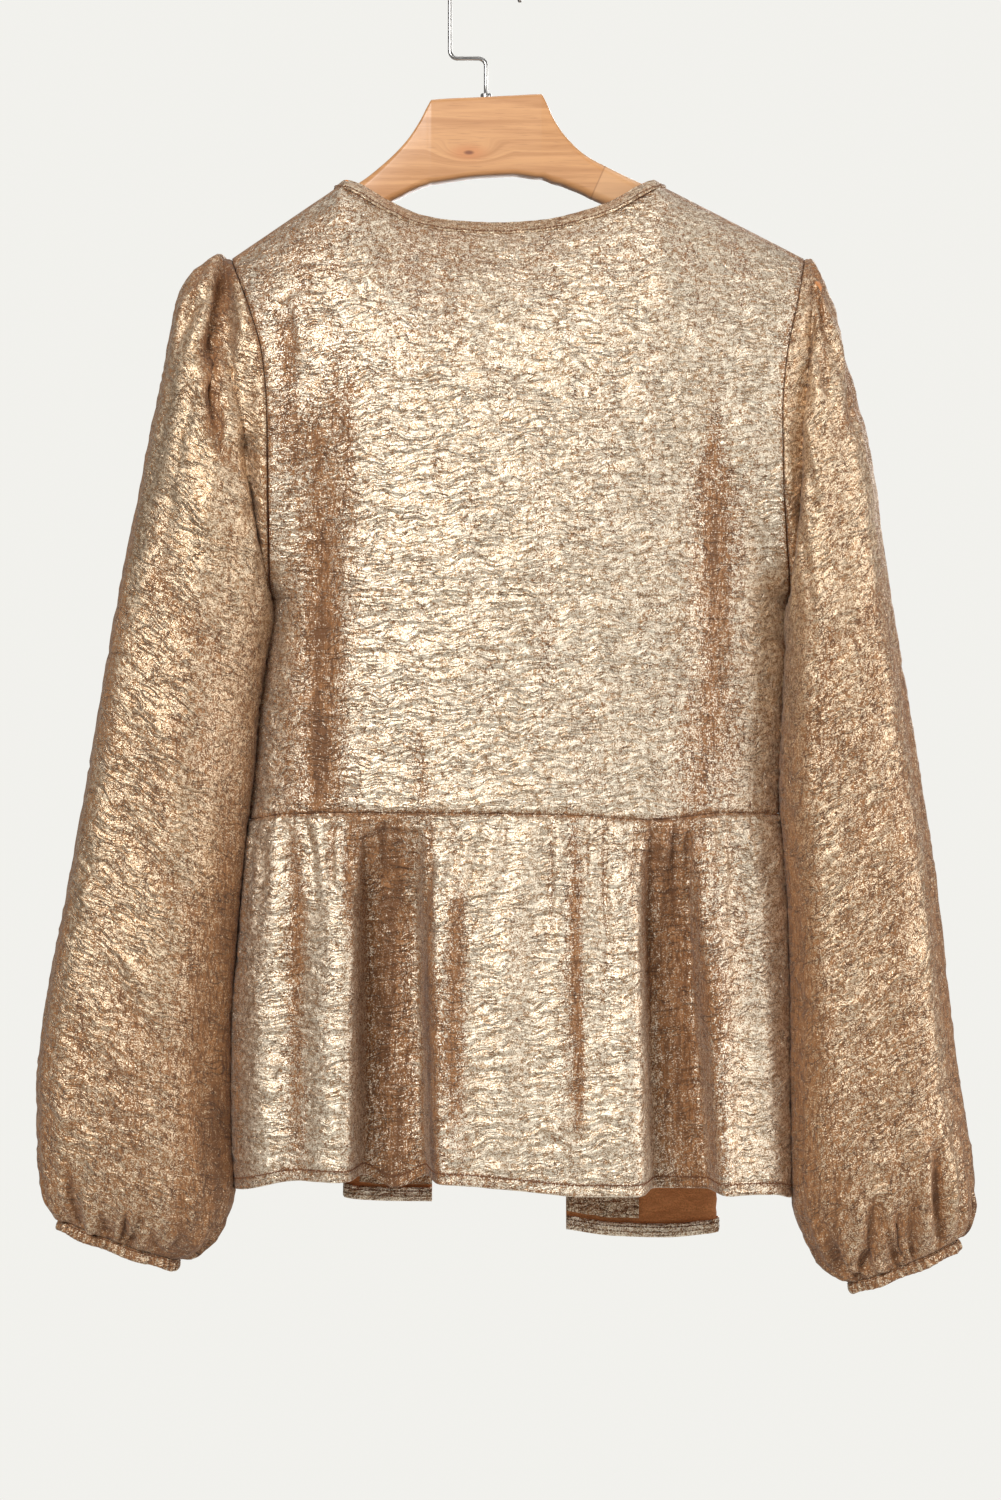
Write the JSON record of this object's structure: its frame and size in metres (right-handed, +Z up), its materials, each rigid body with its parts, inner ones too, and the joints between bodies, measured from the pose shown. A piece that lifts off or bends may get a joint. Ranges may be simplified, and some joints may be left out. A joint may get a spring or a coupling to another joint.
{
  "type": "babydoll blouse on a hanger",
  "caption": "Long-sleeved blouse with a gathered peplum, a V front and balloon sleeves, hanging on a wooden hanger.",
  "frame": {"origin": "the inside of the hook's crown, where the rail holds the hanger", "axes": "+Z up, +Y towards the front of the garment, +X to the right of someone who looks at its back"},
  "size_m": [0.6082, 0.1418, 0.8797],
  "materials": {
    "foil_cloth": "cracked champagne foil on a matte orange-brown crepe",
    "sleeve_cloth": "the same foiled crepe, more rubbed",
    "trim_cloth": "folded foiled crepe with stitches",
    "hanger_wood": "satin lacquer on pale wood",
    "hook_steel": "polished plated wire"
  },
  "bodies": {
    "root": {"bodice_back": "foil_cloth", "bodice_front_left": "foil_cloth", "bodice_front_right": "foil_cloth", "peplum_back": "foil_cloth", "peplum_front_left": "foil_cloth", "peplum_front_right": "foil_cloth", "facing_left": "trim_cloth", "facing_right": "trim_cloth", "sleeve_left": "sleeve_cloth", "sleeve_right": "sleeve_cloth", "cuff_left": "trim_cloth", "cuff_right": "trim_cloth", "neckband": "trim_cloth", "hanger_body": "hanger_wood", "hanger_ferrule": "hook_steel", "hanger_hook": "hook_steel"}
  },
  "joints": []
}
